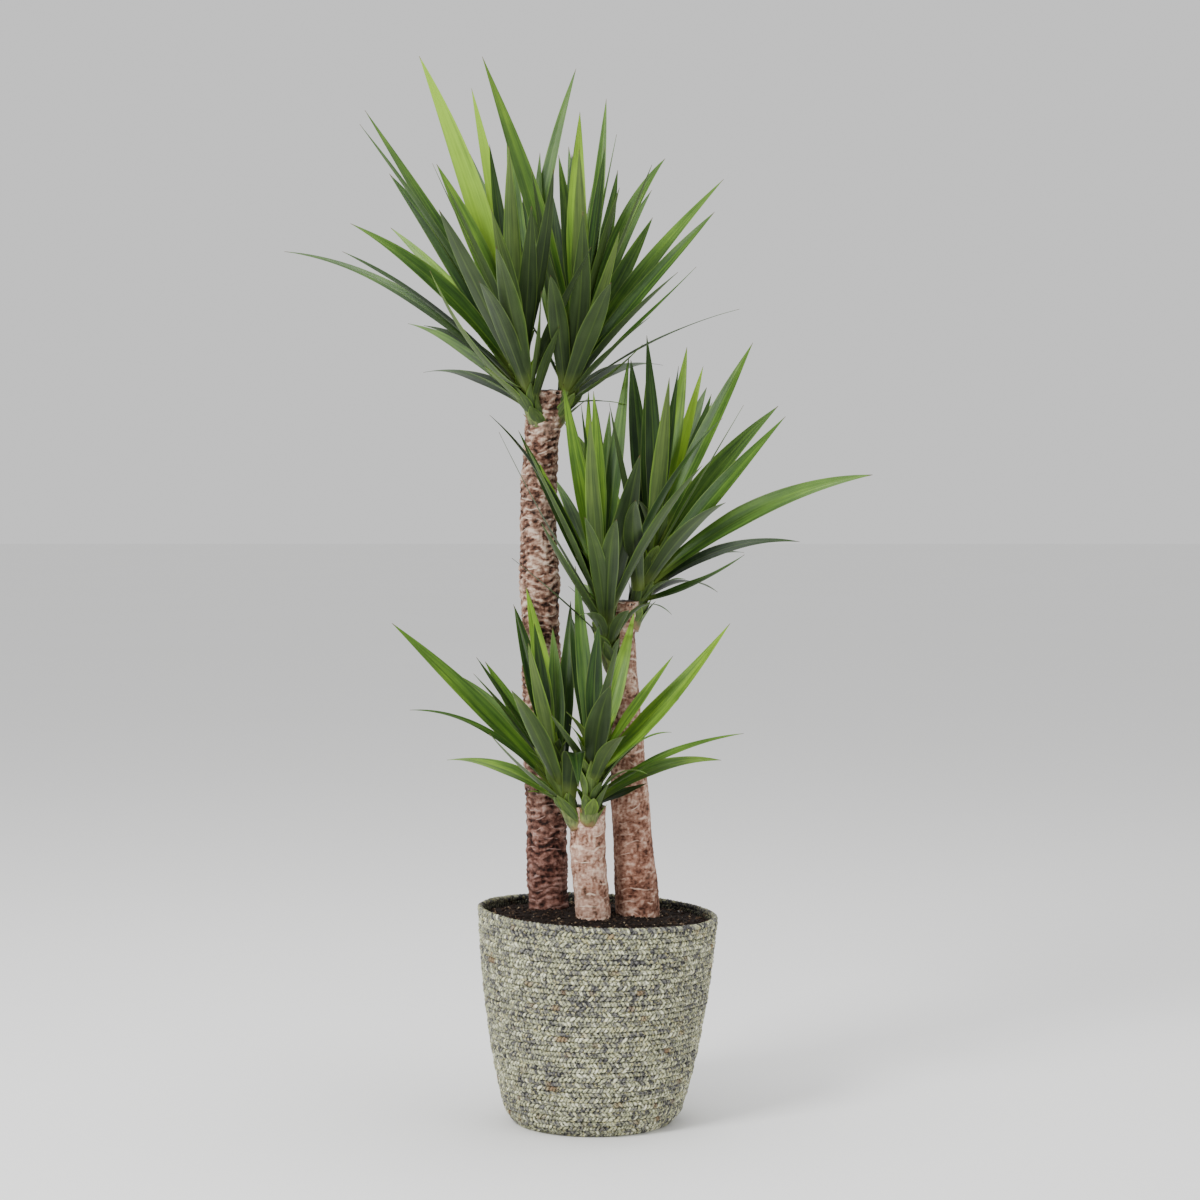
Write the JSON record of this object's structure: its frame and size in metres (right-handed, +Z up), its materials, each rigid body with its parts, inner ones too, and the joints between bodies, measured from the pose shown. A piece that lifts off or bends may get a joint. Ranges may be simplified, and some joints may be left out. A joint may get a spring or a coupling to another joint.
{
  "type": "potted yucca",
  "caption": "Yucca with bare woody canes of stepped heights, each topped by leafy shoots of sword-shaped leaves, planted in a round coiled seagrass basket.",
  "frame": {"origin": "middle of the basket's base, on the surface it stands on", "axes": "+Z up along the plant; +X to the right and -Y towards the viewer, with the shortest cane in front"},
  "size_m": [0.6579, 0.518, 1.1949],
  "materials": {
    "seagrass": "coiled and sewn grey-green seagrass rope, matte",
    "liner": "thin black plastic sheet",
    "soil": "damp dark brown peat with light specks",
    "bark": "rough ring-scarred pinkish brown bark",
    "stem": "green shoot with overlapping leaf bases",
    "leaf": "smooth, slightly waxy green leaf with fine parallel veins"
  },
  "bodies": {
    "root": {"basket": "seagrass", "basket_liner": "liner", "soil": "soil", "cane_tall": "bark", "cane_medium": "bark", "cane_short": "bark", "tall_left_shoot": "stem", "tall_right_shoot": "stem", "medium_left_shoot": "stem", "medium_right_shoot": "stem", "short_left_shoot": "stem", "short_right_shoot": "stem", "tall_left_leaf_1": "leaf", "tall_left_leaf_2": "leaf", "tall_left_leaf_3": "leaf", "tall_left_leaf_4": "leaf", "tall_left_leaf_5": "leaf", "tall_left_leaf_6": "leaf", "tall_left_leaf_7": "leaf", "tall_left_leaf_8": "leaf", "tall_right_leaf_1": "leaf", "tall_right_leaf_2": "leaf", "tall_right_leaf_3": "leaf", "tall_right_leaf_4": "leaf", "tall_right_leaf_5": "leaf", "tall_right_leaf_6": "leaf", "tall_right_leaf_7": "leaf", "tall_right_leaf_8": "leaf", "medium_left_leaf_1": "leaf", "medium_left_leaf_2": "leaf", "medium_left_leaf_3": "leaf", "medium_left_leaf_4": "leaf", "medium_left_leaf_5": "leaf", "medium_left_leaf_6": "leaf", "medium_left_leaf_7": "leaf", "medium_left_leaf_8": "leaf", "medium_right_leaf_1": "leaf", "medium_right_leaf_2": "leaf", "medium_right_leaf_3": "leaf", "medium_right_leaf_4": "leaf", "medium_right_leaf_5": "leaf", "medium_right_leaf_6": "leaf", "medium_right_leaf_7": "leaf", "medium_right_leaf_8": "leaf", "short_left_leaf_1": "leaf", "short_left_leaf_2": "leaf", "short_left_leaf_3": "leaf", "short_left_leaf_4": "leaf", "short_left_leaf_5": "leaf", "short_left_leaf_6": "leaf", "short_left_leaf_7": "leaf", "short_left_leaf_8": "leaf", "short_right_leaf_1": "leaf", "short_right_leaf_2": "leaf", "short_right_leaf_3": "leaf", "short_right_leaf_4": "leaf", "short_right_leaf_5": "leaf", "short_right_leaf_6": "leaf", "short_right_leaf_7": "leaf", "short_right_leaf_8": "leaf"}
  },
  "joints": []
}
